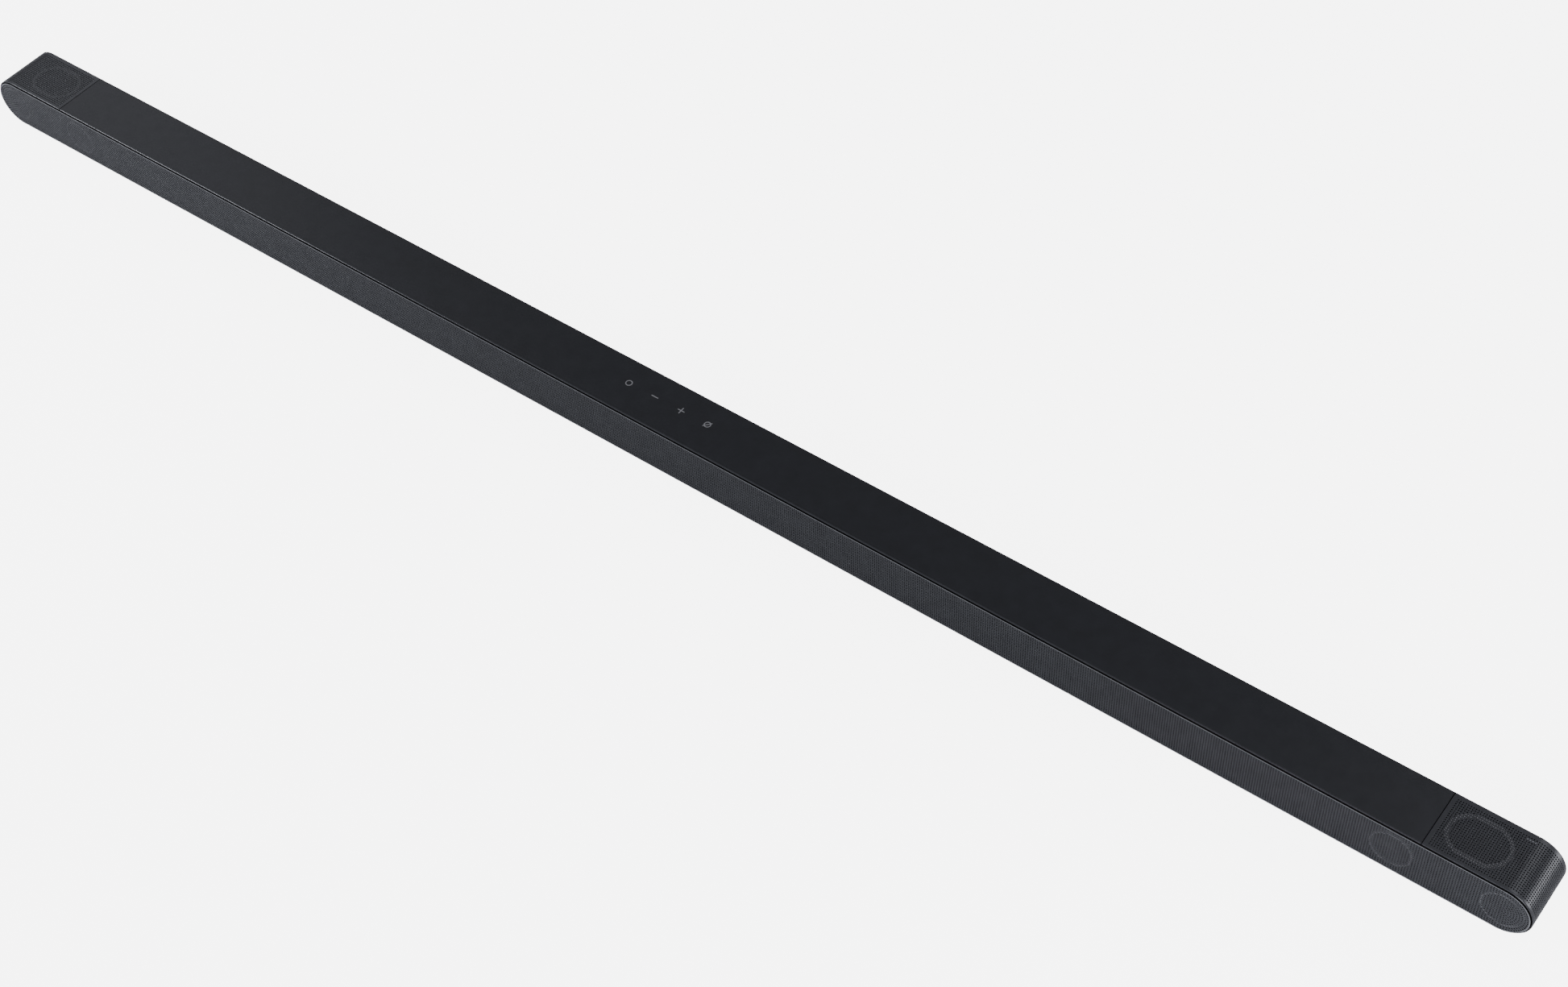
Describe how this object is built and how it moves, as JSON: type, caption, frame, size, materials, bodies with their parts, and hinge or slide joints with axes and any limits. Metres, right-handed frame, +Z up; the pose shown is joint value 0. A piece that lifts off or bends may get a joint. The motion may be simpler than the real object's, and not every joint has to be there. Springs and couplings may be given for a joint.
{
  "type": "soundbar",
  "caption": "Ultra-slim charcoal soundbar with fully rounded ends, perforated metal grilles on the front and ends, and forward and upward firing drivers.",
  "frame": {"origin": "on the surface that the bar stands on, below the middle of its length and depth", "axes": "+X along the bar to the right as seen from the front, the front faces -Y, +Z is up"},
  "size_m": [1.16, 0.04, 0.038],
  "materials": {
    "grille_metal": "fine satin powder coat, perforated with small round holes",
    "cover_plastic": "fine matte moulded texture",
    "inner_black": "matte black moulded",
    "circuit_board": "solder-mask sheen",
    "heat_spreader": "extruded, satin",
    "ribbon": "flat cable",
    "light_guide": "clear frosted",
    "wire_sleeve": "braided sleeve",
    "screw_steel": "black oxide",
    "gasket_foam": "closed-cell foam",
    "spacer_ring": "pressed fibre ring",
    "insert_brass": "machined",
    "socket_shell": "plated sheet",
    "foot_rubber": "matte rubber",
    "basket_plastic": "satin moulded",
    "magnet_steel": "zinc plated",
    "surround_rubber": "soft satin rubber",
    "cone_membrane": "woven membrane"
  },
  "bodies": {
    "housing": {"acoustic_chamber_left": "inner_black", "acoustic_chamber_right": "inner_black", "amplifier_board": "circuit_board", "baffle": "inner_black", "basket_end_left": "basket_plastic", "basket_end_right": "basket_plastic", "basket_front_left": "basket_plastic", "basket_front_right": "basket_plastic", "basket_up_left": "basket_plastic", "basket_up_right": "basket_plastic", "board_screws": "screw_steel", "bottom_cover": "cover_plastic", "driver_gaskets": "gasket_foam", "driver_screws": "screw_steel", "end_grille_left": "grille_metal", "end_grille_right": "grille_metal", "foot_left": "foot_rubber", "foot_mid_left": "foot_rubber", "foot_mid_right": "foot_rubber", "foot_right": "foot_rubber", "front_grille": "grille_metal", "heat_spreader": "heat_spreader", "indicator_board": "circuit_board", "light_guide": "light_guide", "magnet_end_left": "magnet_steel", "magnet_end_right": "magnet_steel", "magnet_front_left": "magnet_steel", "magnet_front_right": "magnet_steel", "magnet_up_left": "magnet_steel", "magnet_up_right": "magnet_steel", "main_board": "circuit_board", "microphone_board_left": "circuit_board", "microphone_board_right": "circuit_board", "mount_inserts": "insert_brass", "power_board": "circuit_board", "power_socket": "socket_shell", "rear_cover": "cover_plastic", "rear_screws": "screw_steel", "service_socket": "socket_shell", "spacer_rings": "spacer_ring", "speaker_loom_left": "wire_sleeve", "speaker_loom_right": "wire_sleeve", "surround_end_left": "surround_rubber", "surround_end_right": "surround_rubber", "surround_front_left": "surround_rubber", "surround_front_right": "surround_rubber", "surround_up_left": "surround_rubber", "surround_up_right": "surround_rubber", "top_cover": "cover_plastic", "touch_board": "circuit_board", "touch_ribbon": "ribbon", "up_plate_left": "inner_black", "up_plate_right": "inner_black", "video_socket": "socket_shell"},
    "driver_end_left": {"cone_end_left": "cone_membrane"},
    "driver_front_left": {"cone_front_left": "cone_membrane"},
    "driver_front_right": {"cone_front_right": "cone_membrane"},
    "driver_end_right": {"cone_end_right": "cone_membrane"},
    "driver_up_left": {"cone_up_left": "cone_membrane"},
    "driver_up_right": {"cone_up_right": "cone_membrane"}
  },
  "joints": [
    {"name": "cone_stroke_end_left", "type": "slide", "parent": "housing", "child": "driver_end_left", "axis": [0, -1, 0], "range_m": [-0.001, 0.001], "stiffness_N_per_m": 1800, "deforming": ["surround_end_left"]},
    {"name": "cone_stroke_front_left", "type": "slide", "parent": "housing", "child": "driver_front_left", "axis": [0, -1, 0], "range_m": [-0.001, 0.001], "stiffness_N_per_m": 1800, "deforming": ["surround_front_left"]},
    {"name": "cone_stroke_front_right", "type": "slide", "parent": "housing", "child": "driver_front_right", "axis": [0, -1, 0], "range_m": [-0.001, 0.001], "stiffness_N_per_m": 1800, "deforming": ["surround_front_right"]},
    {"name": "cone_stroke_end_right", "type": "slide", "parent": "housing", "child": "driver_end_right", "axis": [0, -1, 0], "range_m": [-0.001, 0.001], "stiffness_N_per_m": 1800, "deforming": ["surround_end_right"]},
    {"name": "cone_stroke_up_left", "type": "slide", "parent": "housing", "child": "driver_up_left", "axis": [0, 0, 1], "range_m": [-0.001, 0.001], "stiffness_N_per_m": 1800, "deforming": ["surround_up_left"]},
    {"name": "cone_stroke_up_right", "type": "slide", "parent": "housing", "child": "driver_up_right", "axis": [0, 0, 1], "range_m": [-0.001, 0.001], "stiffness_N_per_m": 1800, "deforming": ["surround_up_right"]}
  ]
}
